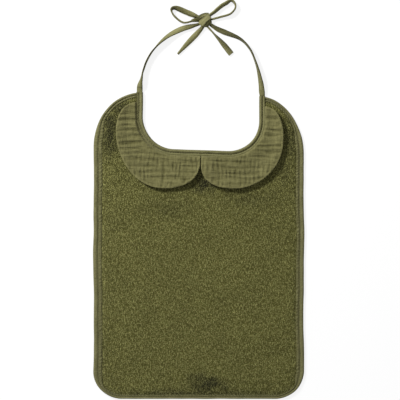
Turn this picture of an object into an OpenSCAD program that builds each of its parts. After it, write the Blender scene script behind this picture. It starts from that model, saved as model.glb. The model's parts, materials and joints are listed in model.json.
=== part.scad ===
// A terry baby bib with a two-leaf collar, taped edges and two tape ties knotted into a bow.
// It lies flat with its front up. The origin is at the middle of the body panel, on its underside.

/* [Body] */
// Width of the body across its straight sides
body_w = 230; // [190:1:280]
// Height of the body from the hem to the shoulder tips
body_h = 333; // [270:1:420]
// Radius of the two bottom corners
corner_r = 31; // [12:1:60]
// Height of the rounded shoulder, from the straight side to the tip
shoulder_h = 62; // [50:1:80]

/* [Neckline] */
// Width of the neck opening
neck_w = 127; // [115:1:140]
// Depth of the neckline below the shoulder tips
neck_depth = 61; // [54:1:70]
// Radius of the two corners of the neckline
neck_corner_r = 34; // [24:1:44]

/* [Cloth] */
// Thickness of the backing cloth
back_t = 1.1; // [0.9:0.1:2]
// Thickness of the terry with its pile
terry_t = 2.5; // [1.8:0.1:4]
// Thickness of the terry where the binding presses it
pressed_t = 1.2; // [0.8:0.1:1.6]
// Thickness of one ply of the collar
ply_t = 0.8; // [0.5:0.1:1.2]

/* [Binding] */
// Width of the folded binding, from the edge to its lip
binding_w = 7; // [5:0.5:9]
// Thickness of the binding tape
binding_t = 0.6; // [0.4:0.1:0.8]
// Distance of the stitch line from the edge
stitch_in = 4; // [3:0.5:4.5]
// Depth of the groove that the stitches pull into the binding
stitch_dip = 0.25; // [0.1:0.05:0.35]
// Distance from the stitch line to each side of its groove
stitch_dip_w = 0.9; // [0.5:0.1:1.2]
// Rounding of the binding's lip
lip_round = 0.2; // [0.1:0.05:0.3]

/* [Collar] */
// Reach of a leaf beyond the neckline at the side
leaf_reach = 27.5; // [22:0.5:32]
// Drop of a leaf below the neckline at the front
leaf_drop = 42; // [34:1:50]
// Distance of a leaf's top end below the shoulder tip
leaf_top = 11; // [8:1:14]
// Height of a leaf's widest point above the bottom of the neckline
leaf_wide_h = 16; // [10:1:20]
// Distance of a leaf's lowest point from the middle of the bib
leaf_low_x = 38; // [30:1:44]
// Height that the round front corner of a leaf takes up
leaf_front_h = 28; // [22:1:34]
// Gap between the two leaves at the front
leaf_gap = 1; // [0.6:0.1:2]
// Width of the sewn stand between the binding and the fold, at its narrowest
stand_w = 3; // [2.5:0.5:6]

/* [Ties] */
// Width of the tie tape
tie_w = 6; // [5:0.5:7]
// Thickness of the tie tape
tie_t = 1.6; // [1:0.1:2]
// Height of the knot
knot_h = 6.5; // [5:0.5:8]
// Distance of the knot from the line through the shoulder tips
knot_rise = 78.5; // [78:0.5:79]

/* [Hidden] */

olive = "#6f6c4a";
terry_olive = "#5f5d35";
gauze_olive = "#74714c";

// Clearances between the cloths
seat = 0.2;      // between the fold of a binding and the cloth in it
loose = 0.3;     // between cloths that lie on each other and move
fold_gap = 0.3;  // across the fold of a leaf

// Heights, from the underside up
flange_lo = binding_t;
cloth_z = back_t;
flange_hi = cloth_z + pressed_t;
edge_h = flange_hi + binding_t;
seam_hi = flange_hi + ply_t;
neck_h = seam_hi + binding_t;
terry_hi = cloth_z + terry_t;
leaf_lo = terry_hi + loose;
leaf_mid = leaf_lo + ply_t;
leaf_hi = leaf_mid + ply_t;

// Neckline and shoulders
tip_y = body_h / 2;
neck_x = neck_w / 2;
neck_y = tip_y - neck_depth;
arch_x = neck_x - neck_corner_r;
arch_y = neck_y + neck_corner_r;
shoulder_a = body_w / 2 - neck_x;
shoulder_y = tip_y - shoulder_h;
hem_x = body_w / 2 - corner_r;
hem_y = -body_h / 2 + corner_r;
pile_in = binding_w + seat;              // where the full pile starts along the outer edge
riser_w = 1.6;                           // step of the collar out of its seam
neck_pile_in = pile_in + riser_w + seat; // the same along the neckline, past the collar's step

// Steps along the curves
shoulder_steps = 16;
corner_steps = 9;
leaf_steps = 14;

function unit(v) = v / norm(v);
function mirrored(p) = [-p.x, p.y, -p[2], p[3]];
function turned_back(list) = [for (i = [len(list) - 1 : -1 : 0]) list[i]];

// A station is [x, y, inward x, inward y]: a point on an edge and its normal into the cloth.
function shoulder_at(a) =
    let (n = unit([shoulder_h * cos(a), shoulder_a * sin(a)]))
    [neck_x + shoulder_a * cos(a), shoulder_y + shoulder_h * sin(a), -n.x, -n.y];

function hem_corner_at(a) =
    [hem_x + corner_r * cos(a), hem_y - corner_r * sin(a), -cos(a), sin(a)];

function neck_corner_at(a) =
    [arch_x + neck_corner_r * cos(a), arch_y - neck_corner_r * sin(a), cos(a), -sin(a)];

// Right half of the outer edge, from an angle on the shoulder down to the hem
function outer_half(top) = concat(
    [for (i = [0 : shoulder_steps]) shoulder_at(top * (1 - i / shoulder_steps))],
    [for (i = [0 : corner_steps]) hem_corner_at(90 * i / corner_steps)]
);

// Right half of the neckline, from the shoulder tip down to the front
function neck_half() = concat(
    [[neck_x, tip_y, 1, 0]],
    [for (i = [0 : corner_steps]) neck_corner_at(90 * i / corner_steps)]
);

function whole(half) = concat(half, turned_back([for (s = half) mirrored(s)]));
function inset(stations, u) = [for (s = stations) [s.x + u * s[2], s.y + u * s[3]]];

// Outline of the cloth, set in from its outer edge and from its neckline
module cloth(outer_in, neck_in) {
    difference() {
        polygon(inset(whole(outer_half(90)), outer_in));
        neck_hole(neck_in);
    }
}

// The neck opening, grown into the cloth and run up past the shoulders
module neck_hole(grow) {
    rim = inset(whole(neck_half()), grow);
    top = tip_y + neck_depth;
    polygon(concat([[neck_x + grow, top]], rim, [[-neck_x - grow, top]]));
}

module slab(lo, hi) {
    translate([0, 0, lo])
        linear_extrude(hi - lo)
            children();
}

// A folded binding: a closed channel whose round fold runs along the edge, with a stitched groove
// on top. Each profile point is [distance in from the edge, height].
function channel(w, h) =
    let (r = h / 2)
    concat(
        [[w, 0]],
        [for (a = [-90 : 30 : 90]) [r * (1 - cos(a)) * 0.8, r * (1 + sin(a))]],
        [
            [stitch_in - stitch_dip_w, h],
            [stitch_in, h - stitch_dip],
            [stitch_in + stitch_dip_w, h],
            [w - lip_round, h],
            [w, h - lip_round],
            [w, h - binding_t],
            [binding_t, h - binding_t],
            [binding_t, binding_t],
            [w, binding_t]
        ]
    );

// The channel's end, as triangles between the points of its profile
channel_end = [
    [0, 1, 15], [0, 15, 16], [1, 2, 15], [2, 3, 15], [3, 4, 15], [4, 14, 15], [4, 5, 14], [5, 6, 14],
    [6, 7, 14], [7, 8, 14], [8, 9, 14], [9, 13, 14], [9, 10, 13], [10, 11, 13], [11, 12, 13]
];

// Sweeps a channel along stations, as one closed solid
module swept_binding(stations, profile) {
    n = len(profile);
    last = len(stations) - 1;
    points = [for (s = stations, p = profile) [s.x + p.x * s[2], s.y + p.x * s[3], p.y]];
    sides = [
        for (i = [0 : last - 1], j = [0 : n - 1])
            let (k = (j + 1) % n, a = i * n, b = a + n)
            each [[a + j, a + k, b + k], [a + j, b + k, b + j]]
    ];
    start_cap = [for (f = channel_end) turned_back(f)];
    end_cap = [for (f = channel_end) [for (j = f) last * n + j]];
    polyhedron(points, concat(sides, start_cap, end_cap), convexity = 8);
}

module gauze_back() {
    color(gauze_olive) {
        slab(flange_lo, cloth_z) cloth(binding_t + seat, binding_t + seat);
        slab(0, cloth_z) cloth(pile_in, pile_in);
    }
}

module terry_front() {
    color(terry_olive) {
        slab(cloth_z, flange_hi) cloth(binding_t + seat, binding_t + seat);
        slab(cloth_z, terry_hi) cloth(pile_in, neck_pile_in);
    }
}

module edge_binding() {
    end_angle = acos((binding_w + 2) / shoulder_a);
    color(olive)
        swept_binding(whole(outer_half(end_angle)), channel(binding_w, edge_h));
}

module neck_binding() {
    color(olive)
        swept_binding(whole(neck_half()), channel(binding_w, neck_h));
}

// Outline of a right leaf: three quarter ovals, down the side, under the front and up the middle
leaf_x = neck_x + leaf_reach;
leaf_wide_y = neck_y + leaf_wide_h;
leaf_low_y = neck_y - leaf_drop;
leaf_end_x = neck_x + binding_w / 2;
full = 2 / 2.3; // below 1 the ovals are fuller than an ellipse

function oval(cx, cy, a, b, from, to, power) = [
    for (i = [0 : leaf_steps])
        let (t = from + (to - from) * i / leaf_steps)
        [
            cx + a * sign(cos(t)) * pow(abs(cos(t)), power),
            cy + b * sign(sin(t)) * pow(abs(sin(t)), power)
        ]
];

module leaf_outline() {
    front_x = leaf_gap / 2;
    polygon(concat(
        oval(leaf_end_x, leaf_wide_y, leaf_x - leaf_end_x, tip_y - leaf_top - leaf_wide_y, 90, 0, full),
        oval(leaf_low_x, leaf_wide_y, leaf_x - leaf_low_x, leaf_wide_y - leaf_low_y, 0, -90, 1),
        oval(leaf_low_x, leaf_low_y + leaf_front_h, leaf_low_x - front_x, leaf_front_h, -90, -180, full),
        [[front_x, arch_y], [leaf_end_x, arch_y]]
    ));
}

// The fold is a straight crease at 45 degrees, stand_w outside the binding at the neckline's corner
fold_r = neck_corner_r + binding_w + stand_w;

module beyond_fold(shift) {
    span = 2 * leaf_x;
    translate([arch_x, arch_y])
        rotate(-45)
            translate([fold_r + shift, -span / 2])
                square([span, span]);
}

module fall_outline() {
    intersection() {
        leaf_outline();
        beyond_fold(fold_gap / 2);
    }
}

// Part of the leaf from a distance outside the neckline up to the fold
module stand_outline(from) {
    difference() {
        leaf_outline();
        beyond_fold(-fold_gap / 2);
        neck_hole(from);
    }
}

module collar_stand() {
    color(gauze_olive) {
        slab(leaf_lo, leaf_hi) stand_outline(pile_in);
        slab(flange_hi, leaf_hi)
            difference() {
                stand_outline(pile_in);
                difference() {
                    leaf_outline();
                    neck_hole(pile_in + riser_w);
                }
            }
        slab(flange_hi, seam_hi)
            difference() {
                stand_outline(binding_t + seat);
                difference() {
                    leaf_outline();
                    neck_hole(pile_in + riser_w);
                }
            }
    }
}

module collar_under() {
    color(gauze_olive)
        slab(leaf_lo, leaf_mid) fall_outline();
}

module collar_upper() {
    color(gauze_olive)
        slab(leaf_mid, leaf_hi) fall_outline();
}

module left() {
    mirror([1, 0, 0]) children();
}

module left_collar_stand() { left() collar_stand(); }
module right_collar_stand() { collar_stand(); }
module left_collar_under() { left() collar_under(); }
module right_collar_under() { collar_under(); }
module left_collar_upper() { left() collar_upper(); }
module right_collar_upper() { collar_upper(); }

// The swing axis of the ties runs across the shoulder tips
swing_y = tip_y + loose + tie_t / 2;
swing_z = neck_h / 2;
tie_x = neck_x + binding_w / 2;

// Routes of the tapes. Each point is [x, y, roll, width share, lift]: the roll is 0 where the tape
// lies flat and 90 where it stands on its edge, and the lift raises it off the surface it lies on.
// x and y of the two ties count from their start on the shoulder, and the bow's from the knot.
left_tie_route = [
    [0, 0, 0, 1, 1], [0.1, 4, 8, 1, 1], [0.7, 8.5, 52, 1, 0.6], [1.9, 14, 73, 1, 0.2],
    [3.6, 23, 88, 1, 0], [8, 36, 90, 1, 0], [16, 48.5, 85, 1, 0], [30, 61.7, 50, 1, 0],
    [45, 70, 15, 1, 0], [58, 73.6, 30, 0.8, 0], [65.9, 75.8, 75, 0.6, 0]
];
right_tie_route = [
    [0, 0, 0, 1, 1], [-0.6, 5, 10, 1, 0.8], [-1.5, 12, 42, 1, 0.4], [-4.2, 24.5, 73, 1, 0],
    [-7.6, 35, 88, 1, 0], [-13.5, 48, 88, 1, 0], [-24, 59, 80, 1, 0], [-41, 66.5, 40, 1, 0],
    [-50.5, 71, 30, 0.8, 0], [-58.2, 76.1, 75, 0.6, 0]
];
left_loop_route = [
    [-3.9, 2.3, 75, 0.45, 1], [-11, 5.8, 20, 0.8, 1], [-22, 10.5, 10, 0.95, 0.8],
    [-33, 14.7, 50, 0.9, 0.3], [-37.5, 12.5, 90, 0.8, 0], [-34, 5.5, 90, 0.8, 0],
    [-24.5, -1.2, 90, 0.7, 0], [-14, 0.3, 70, 0.7, 0], [-5.2, 0.2, 70, 0.6, 0]
];
right_loop_route = [
    [4.3, 6.4, 60, 0.5, 1], [10.4, 11, 50, 0.75, 1], [21, 20, 58, 0.8, 0.5], [27.5, 25, 75, 0.8, 0.2],
    [32, 21.5, 90, 0.8, 0], [32.2, 15, 90, 0.8, 0], [27, 8.3, 90, 0.8, 0], [15, 4.6, 90, 0.6, 0],
    [5.6, 2, 90, 0.5, 0]
];
left_end_route = [
    [-3.8, -6.6, 20, 0.6, 0.6], [-9.4, -13, 5, 0.95, 0.3], [-20, -24, 0, 0.85, 0],
    [-30.5, -35.5, 0, 0.3, 0]
];
right_end_route = [
    [1.5, -5, 85, 0.5, 0], [9, -13.5, 80, 0.8, 0], [19, -24.5, 30, 1, 0], [28, -35.5, 0, 1, 0]
];
knot_x = 5;
knot_y = swing_y + knot_rise;

// Rounded outline of the tape's section, as shares of its width and thickness
tape_section = [
    [0.5, 0.25], [0.44, 0.5], [-0.44, 0.5], [-0.5, 0.25],
    [-0.5, -0.25], [-0.44, -0.5], [0.44, -0.5], [0.5, -0.25]
];

// A smooth curve through the points of a route, two rings to each stretch
function spline(a, b, c, d, t) =
    0.5 * (2 * b + (c - a) * t + (2 * a - 5 * b + 4 * c - d) * t * t + (3 * b - a - 3 * c + d) * t * t * t);

function smooth(route) =
    let (last = len(route) - 1)
    [
        for (i = [0 : 2 * last])
            let (k = min(floor(i / 2), last - 1), t = i / 2 - k)
            spline(route[max(k - 1, 0)], route[k], route[k + 1], route[min(k + 2, last)], t)
    ];

// Half the height that a tape takes up when it is rolled by an angle
function half_height(roll, w) = abs(sin(roll)) * w / 2 + cos(roll) * tie_t / 2;

// One ring of the tape: its middle, its running direction and its roll give the eight corners
function ring(middle, along, roll, w, t) =
    let (
        side = unit(cross(along, [0, 0, 1])),
        up = [0, 0, 1],
        across = cos(roll) * side + sin(roll) * up,
        through = cos(roll) * up - sin(roll) * side
    )
    [for (p = tape_section) middle + p.x * w * across + p.y * t * through];

function tape_middle(p, origin, lift_z) =
    let (rest = half_height(p[2], p[3] * tie_w))
    [origin.x + p.x, origin.y + p.y, rest + p[4] * (lift_z - tie_t / 2)];

// Sweeps a tape along a route. Where it starts on the swing axis, its end is rounded about that axis.
module tape(route, origin, lift_z, round_start) {
    pts = smooth(route);
    last = len(pts) - 1;
    mids = [for (p = pts) tape_middle(p, origin, lift_z)];
    heading = [for (i = [0 : last]) mids[min(i + 1, last)] - mids[max(i - 1, 0)]];
    start_rings = round_start
        ? [for (a = [20, 55]) ring(mids[0] - [0, cos(a) * tie_t / 2, 0], [0, 1, 0], 0, tie_w, tie_t * sin(a))]
        : [];
    body_rings = [for (i = [0 : last]) ring(mids[i], heading[i], pts[i][2], pts[i][3] * tie_w, tie_t)];
    tube(concat(start_rings, body_rings));
}

module tube(rings) {
    n = len(rings[0]);
    last = len(rings) - 1;
    points = [for (r = rings, p = r) p];
    sides = [
        for (i = [0 : last - 1], j = [0 : n - 1])
            let (k = (j + 1) % n, a = i * n, b = a + n)
            each [[a + j, b + j, b + k], [a + j, b + k, a + k]]
    ];
    start_cap = [for (j = [0 : n - 1]) j];
    end_cap = [for (j = [n - 1 : -1 : 0]) last * n + j];
    polyhedron(points, concat(sides, [start_cap, end_cap]), convexity = 8);
}

module left_tie() {
    color(olive) tape(left_tie_route, [-tie_x, swing_y], swing_z, true);
}

module right_tie() {
    color(olive) tape(right_tie_route, [tie_x, swing_y], swing_z, true);
}

module left_bow_loop() {
    color(olive) tape(left_loop_route, [knot_x, knot_y], tie_t, false);
}

module right_bow_loop() {
    color(olive) tape(right_loop_route, [knot_x, knot_y], tie_t, false);
}

module left_tie_end() {
    color(olive) tape(left_end_route, [knot_x, knot_y], tie_t, false);
}

module right_tie_end() {
    color(olive) tape(right_end_route, [knot_x, knot_y], tie_t, false);
}

// The knot: the tape wrapped once round the crossing, fuller in the middle than at its ends
knot_profile = [[-7, 0.3], [-6.2, 0.6], [-3.8, 0.88], [0, 1], [3.8, 0.88], [6.2, 0.6], [7, 0.3]];
knot_lean = 35;
knot_w = 8;
knot_sides = 12;

module bow_knot() {
    along = [sin(knot_lean), cos(knot_lean), 0];
    side = [cos(knot_lean), -sin(knot_lean), 0];
    middle = [knot_x, knot_y, knot_h / 2];
    rings = [
        for (s = knot_profile)
            [
                for (j = [0 : knot_sides - 1])
                    let (a = -360 * j / knot_sides)
                    middle + s[0] * along + s[1] * (cos(a) * knot_w * side + sin(a) * [0, 0, knot_h]) / 2
            ]
    ];
    color(olive) tube(rings);
}

gauze_back();
terry_front();
edge_binding();
neck_binding();
left_collar_stand();
right_collar_stand();
left_collar_under();
right_collar_under();
left_collar_upper();
right_collar_upper();
left_tie();
right_tie();
left_bow_loop();
right_bow_loop();
left_tie_end();
right_tie_end();
bow_knot();
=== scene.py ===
"""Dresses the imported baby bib: looped terry, crinkled gauze collar, stitched tape edges and a tied bow."""

import json
import math

import bpy
import numpy as np
from bpy.props import FloatProperty, FloatVectorProperty, PointerProperty
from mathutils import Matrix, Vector, kdtree, noise


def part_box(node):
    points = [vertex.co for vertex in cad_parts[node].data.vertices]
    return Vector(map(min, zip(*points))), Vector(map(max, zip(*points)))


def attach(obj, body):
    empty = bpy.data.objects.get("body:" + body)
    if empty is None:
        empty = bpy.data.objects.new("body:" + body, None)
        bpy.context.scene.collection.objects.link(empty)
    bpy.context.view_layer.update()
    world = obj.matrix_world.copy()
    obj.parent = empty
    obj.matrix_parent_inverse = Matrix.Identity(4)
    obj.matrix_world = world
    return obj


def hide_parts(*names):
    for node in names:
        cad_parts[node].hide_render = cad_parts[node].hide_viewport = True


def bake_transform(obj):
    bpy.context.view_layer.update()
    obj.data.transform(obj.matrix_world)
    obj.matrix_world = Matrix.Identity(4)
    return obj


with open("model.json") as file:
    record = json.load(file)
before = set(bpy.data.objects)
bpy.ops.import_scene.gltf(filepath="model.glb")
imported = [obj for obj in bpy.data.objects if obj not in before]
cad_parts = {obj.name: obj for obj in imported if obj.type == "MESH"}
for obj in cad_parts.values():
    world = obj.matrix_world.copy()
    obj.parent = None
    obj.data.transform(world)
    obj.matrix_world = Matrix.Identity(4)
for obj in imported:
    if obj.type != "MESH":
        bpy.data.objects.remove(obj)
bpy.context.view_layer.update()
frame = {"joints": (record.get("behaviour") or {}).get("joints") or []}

bl_info = {
    "name": "Baby Bib",
    "version": (1, 0, 0),
    "blender": (4, 5, 0),
    "location": "3D View > Sidebar > Bib",
    "description": "Makes a terry baby bib with a gauze collar, taped edges and tape ties",
    "category": "Add Mesh",
}

MM = 0.001
EDGE_LO, EDGE_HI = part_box("edge_binding")
NECK_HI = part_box("neck_binding")[1]
TERRY_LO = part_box("terry_front")[0]
BACK_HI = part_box("gauze_back")[1]
UNDER_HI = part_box("right_collar_under")[1]
JOINTS = {joint["name"]: joint for joint in frame["joints"]}
SWING_Y = JOINTS["neck_loop_swing"]["pos_m"][1]
SWING_Z = JOINTS["neck_loop_swing"]["pos_m"][2]


# ---------------------------------------------------------------------------
# Sizes and colours
# ---------------------------------------------------------------------------


def length(name, description, default):
    return FloatProperty(name=name, description=description, default=default, unit="LENGTH", precision=4)


def colour(name, description, default):
    return FloatVectorProperty(
        name=name, description=description, default=default, subtype="COLOR", size=3, min=0, max=1
    )


class BibSizes(bpy.types.PropertyGroup):
    """Sizes of the bib, in metres"""

    body_w: length("Body width", "Width across the straight sides", EDGE_HI.x - EDGE_LO.x)
    tip_y: length("Shoulder tip", "Distance of the shoulder tips from the middle of the body", NECK_HI.y)
    corner_r: length("Corner radius", "Radius of the two bottom corners", 0.031)
    shoulder_h: length("Shoulder height", "Height of the rounded shoulder", 0.062)
    neck_w: length("Neck width", "Width of the neck opening", 0.127)
    neck_depth: length("Neck depth", "Depth of the neckline below the shoulder tips", 0.061)
    neck_corner_r: length("Neck corner radius", "Radius of the neckline's corners", 0.034)
    binding_w: length("Binding width", "Width of the folded binding", 0.007)
    stitch_in: length("Stitch inset", "Distance of the stitch line from the edge", 0.004)
    stitch_pitch: length("Stitch pitch", "Length of one stitch with its gap", 0.0026)
    leaf_reach: length("Leaf reach", "Reach of a collar leaf beyond the neckline at the side", 0.0275)
    leaf_drop: length("Leaf drop", "Drop of a collar leaf below the neckline at the front", 0.042)
    leaf_top: length("Leaf top", "Distance of a leaf's top end below the shoulder tip", 0.011)
    tie_w: length("Tie width", "Width of the tie tape", 0.006)
    tie_t: length("Tie thickness", "Thickness of the folded tie tape", 0.0016)


class BibColours(bpy.types.PropertyGroup):
    """Colours of the bib's cloths"""

    # The loop tops and the ground between them are one yarn: the ground's darker colour is painted shade in
    # the hollows between the loops, and the tops' lighter colour painted light on them
    loops: colour("Terry loops", "Colour of the tops of the terry loops", (0.46, 0.446, 0.155))
    shaded_pile: colour("Terry ground", "Colour between the terry loops", (0.09, 0.086, 0.019))
    gauze: colour("Gauze", "Colour of the crinkled collar", (0.14, 0.131, 0.053))
    backing: colour("Backing", "Colour of the backing cloth", (0.172, 0.163, 0.074))
    tape: colour("Tape", "Colour of the bindings and ties", (0.17, 0.162, 0.073))
    thread: colour("Thread", "Colour of the sewing thread", (0.2, 0.19, 0.08))


def sizes():
    return bpy.context.scene.bib_sizes


def colours():
    return bpy.context.scene.bib_colours


# ---------------------------------------------------------------------------
# Materials
# ---------------------------------------------------------------------------


class Value:
    """A number in a material. Python's operators on it add Math nodes."""

    def __init__(self, cloth, socket):
        self.cloth = cloth
        self.socket = socket

    def math(self, operation, *others):
        node = self.cloth.node("ShaderNodeMath", {"operation": operation}, [self, *others])
        return Value(self.cloth, node.outputs[0])

    def __add__(self, other):
        return self.math("ADD", other)

    def __mul__(self, other):
        return self.math("MULTIPLY", other)

    def __sub__(self, other):
        return self.math("SUBTRACT", other)

    def __rsub__(self, other):
        flipped = self.cloth.node("ShaderNodeMath", {"operation": "SUBTRACT"}, [other, self])
        return Value(self.cloth, flipped.outputs[0])

    __radd__ = __add__
    __rmul__ = __mul__


class Cloth:
    """A cloth material and the nodes in it"""

    def __init__(self, name):
        self.material = bpy.data.materials.new(name)
        self.material.use_nodes = True
        self.tree = self.material.node_tree
        self.shader = self.tree.nodes["Principled BSDF"]

    def node(self, kind, settings=None, values=()):
        """Adds a node of a type, with its settings, then the values or links of its inputs"""
        made = self.tree.nodes.new(kind)
        for key, value in (settings or {}).items():
            setattr(made, key, value)
        pairs = values.items() if isinstance(values, dict) else enumerate(values)
        for key, value in pairs:
            self.feed(made.inputs[key], value)
        return made

    def feed(self, socket, value):
        if isinstance(value, Value):
            value = value.socket
        if isinstance(value, bpy.types.NodeSocket):
            self.tree.links.new(value, socket)
        else:
            socket.default_value = value

    def place(self, scale=(1, 1, 1)):
        """The piece's own coordinates in metres, times a scale"""
        where = self.node("ShaderNodeTexCoord").outputs["Object"]
        return self.node("ShaderNodeMapping", values={"Vector": where, "Scale": scale}).outputs[0]

    def grain(self, where, scale, detail=2.0, rough=0.5):
        made = self.node(
            "ShaderNodeTexNoise",
            values={"Vector": where, "Scale": scale, "Detail": detail, "Roughness": rough},
        )
        return Value(self, made.outputs[0])

    def cells(self, where, scale):
        made = self.node("ShaderNodeTexVoronoi", values={"Vector": where, "Scale": scale})
        return Value(self, made.outputs["Distance"])

    def crease(self):
        """The painted light stored on each point of the piece's mesh: painted shade in creases and recesses
        above 0, and a painted highlight below 0
        """
        made = self.node("ShaderNodeAttribute", {"attribute_name": "crease"})
        return Value(self, made.outputs["Fac"])

    def spread(self, value, low, high, to_low=0.0, to_high=1.0):
        """Maps a range of values onto another, clamped"""
        made = self.node("ShaderNodeMapRange", values=[value, low, high, to_low, to_high])
        return Value(self, made.outputs[0])

    def mix(self, amount, first, second):
        made = self.node("ShaderNodeMix", {"data_type": "RGBA"})
        self.feed(made.inputs["Factor"], amount)
        self.feed(made.inputs["A"], first)
        self.feed(made.inputs["B"], second)
        return made.outputs["Result"]

    def bump(self, height, distance, strength=1.0):
        made = self.node(
            "ShaderNodeBump", values={"Strength": strength, "Distance": distance, "Height": height}
        )
        return made.outputs[0]

    def finish(self, base, normal, roughness, sheen=0.1):
        self.feed(self.shader.inputs["Base Color"], base)
        self.feed(self.shader.inputs["Normal"], normal)
        self.feed(self.shader.inputs["Roughness"], roughness)
        self.shader.inputs["Specular IOR Level"].default_value = 0.15
        self.shader.inputs["Sheen Weight"].default_value = sheen
        self.shader.inputs["Sheen Roughness"].default_value = 0.5
        return self.material


def shade(rgb, factor, warm=1.0):
    """A colour made lighter or darker, with its blue held back by warm"""
    r, g, b = (min(1.0, c * factor) for c in rgb)
    return (r, g, b * warm, 1)


# Dark patches in the terry, partly where it is brushed the other way and partly painted shade beside and
# below the collar leaves, in the notch between them and between the leaves and the bindings: x, y, half
# width, half height and how dark
PILE_AND_SHADE_PATCHES = [
    (0.01, -0.151, 0.027, 0.012, 0.95),
    (0.0, -0.16, 0.105, 0.006, 0.55),
    (-0.096, 0.125, 0.013, 0.034, 0.85),
    (-0.083, 0.151, 0.018, 0.014, 0.75),
    (0.1, 0.12, 0.011, 0.034, 0.55),
    (0.095, 0.085, 0.011, 0.022, 0.4),
    (0.0045, 0.068, 0.015, 0.013, 1.0),
    (-0.035, 0.042, 0.034, 0.016, 0.35),
    (0.055, 0.053, 0.045, 0.012, 0.35),
    (-0.106, -0.12, 0.006, 0.03, 0.35),
]


def terry_material():
    look = colours()
    cloth = Cloth("terry")
    where = cloth.place()
    wander = cloth.grain(where, 260, 1) * 0.004
    bent = cloth.node("ShaderNodeVectorMath", {"operation": "ADD"}, [where, wander]).outputs[0]
    loops = cloth.cells(bent, 820)
    fluff = cloth.grain(where, 1250, 3, 0.75)
    columns = cloth.grain(cloth.place((980, 260, 300)), 1.0, 2, 0.6)
    uneven = cloth.grain(where, 30, 3, 0.6)
    height = fluff * 0.75 + columns * 0.6 + (1 - loops) * 0.4
    dark = cloth.spread(uneven, 0.4, 0.6, 0.1, 0.0)
    # Each patch darkens the terry, as painted shade where it lies by the collar leaves
    for x, y, half_w, half_h, weight in PILE_AND_SHADE_PATCHES:
        centred = cloth.node(
            "ShaderNodeMapping",
            {"vector_type": "TEXTURE"},
            {"Vector": where, "Location": (x, y, 0), "Scale": (half_w, half_h, 1)},
        ).outputs[0]
        far = Value(cloth, cloth.node("ShaderNodeVectorMath", {"operation": "LENGTH"}, [centred]).outputs[1])
        ragged = far + (cloth.grain(where, 90, 3) - 0.5) * 1.6
        dark = dark.math("MAXIMUM", cloth.spread(ragged, 0.2, 1.2, weight, 0.0))
    # Painted shade: the hollows between the loops take the shaded ground colour, darker still in the dark
    # patches, and the loop tops take the lighter colour
    shaded_hollows = cloth.mix(dark, (*look.shaded_pile, 1), shade(look.shaded_pile, 0.07))
    tips = cloth.mix(dark, (*look.loops, 1), shade(look.loops, 0.45))
    base = cloth.mix(cloth.spread(height, 0.83, 1.11), shaded_hollows, tips)
    normal = cloth.bump(height, 0.0021, 1.0)
    return cloth.finish(base, normal, 0.95, 0.05)


def gauze_material(name, rgb):
    cloth = Cloth(name)
    where = cloth.place()
    slub_x = cloth.grain(cloth.place((130, 620, 200)), 1.0, 3, 0.65)
    slub_y = cloth.grain(cloth.place((620, 130, 200)), 1.0, 3, 0.65)
    cloudy = cloth.grain(where, 60, 3)
    threads = slub_x + slub_y
    # The tone takes away the painted light stored on the mesh, so the crinkle valleys are darker as painted
    # shade; the dark end, with less blue, serves that painted shade and the darker threads alike
    tone = 0.6 + (threads - 1) * 1.0 + (cloudy - 0.5) * 0.4 - cloth.crease()
    base = cloth.mix(cloth.spread(tone, 0, 1), shade(rgb, 0.36, 0.6), shade(rgb, 1.42))
    normal = cloth.bump(threads, 0.0009, 0.8)
    return cloth.finish(base, normal, 0.92, 0.12)


def tape_material():
    look = colours()
    cloth = Cloth("tape")
    along = cloth.node("ShaderNodeUVMap", {"uv_map": "tape"}).outputs[0]
    ribs = cloth.node("ShaderNodeMapping", values={"Vector": along, "Scale": (700, 500, 1)}).outputs[0]
    streaks = cloth.node("ShaderNodeMapping", values={"Vector": along, "Scale": (90, 1100, 1)}).outputs[0]
    threads = cloth.grain(ribs, 1.0, 2, 0.6)
    fibres = cloth.grain(streaks, 1.0, 2, 0.6)
    patchy = cloth.grain(cloth.place(), 90, 2)
    # The tone takes away the painted light stored on the mesh: painted shade in grooves and recesses, painted
    # highlights where it is below 0
    tone = 0.6 + (threads - 0.5) * 0.7 + (fibres - 0.5) * 0.7 + (patchy - 0.5) * 0.4 - cloth.crease()
    base = cloth.mix(cloth.spread(tone, 0, 1), shade(look.tape, 0.3, 0.5), shade(look.tape, 1.5))
    normal = cloth.bump(threads + fibres, 0.0007, 0.8)
    return cloth.finish(base, normal, 0.9, 0.12)


def thread_material():
    look = colours()
    cloth = Cloth("thread")
    twist = cloth.grain(cloth.place(), 1400, 2)
    base = cloth.mix(twist, shade(look.thread, 0.75), shade(look.thread, 1.25))
    return cloth.finish(base, cloth.bump(twist, 0.0002, 0.6), 0.7, 0.2)


MATERIALS = {}


def material(name):
    """Each cloth's material, made the first time it is asked for"""
    if name not in MATERIALS:
        look = colours()
        makers = {
            "terry": terry_material,
            "gauze": lambda: gauze_material("gauze", look.gauze),
            "backing": lambda: gauze_material("backing", look.backing),
            "tape": tape_material,
            "thread": thread_material,
        }
        MATERIALS[name] = makers[name]()
    return MATERIALS[name]


# ---------------------------------------------------------------------------
# Outlines
# ---------------------------------------------------------------------------


def arc(centre, radii, start, end, steps, power=1.0):
    """Points on an oval from one angle to another; a power below 1 makes it fuller"""
    angle = np.radians(np.linspace(start, end, steps))
    x = np.sign(np.cos(angle)) * np.abs(np.cos(angle)) ** power
    y = np.sign(np.sin(angle)) * np.abs(np.sin(angle)) ** power
    return np.column_stack([centre[0] + radii[0] * x, centre[1] + radii[1] * y])


def distances(points):
    """Distance of each point of a line from its start, along the line"""
    return np.concatenate([[0], np.cumsum(np.linalg.norm(np.diff(points, axis=0), axis=1))])


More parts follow.
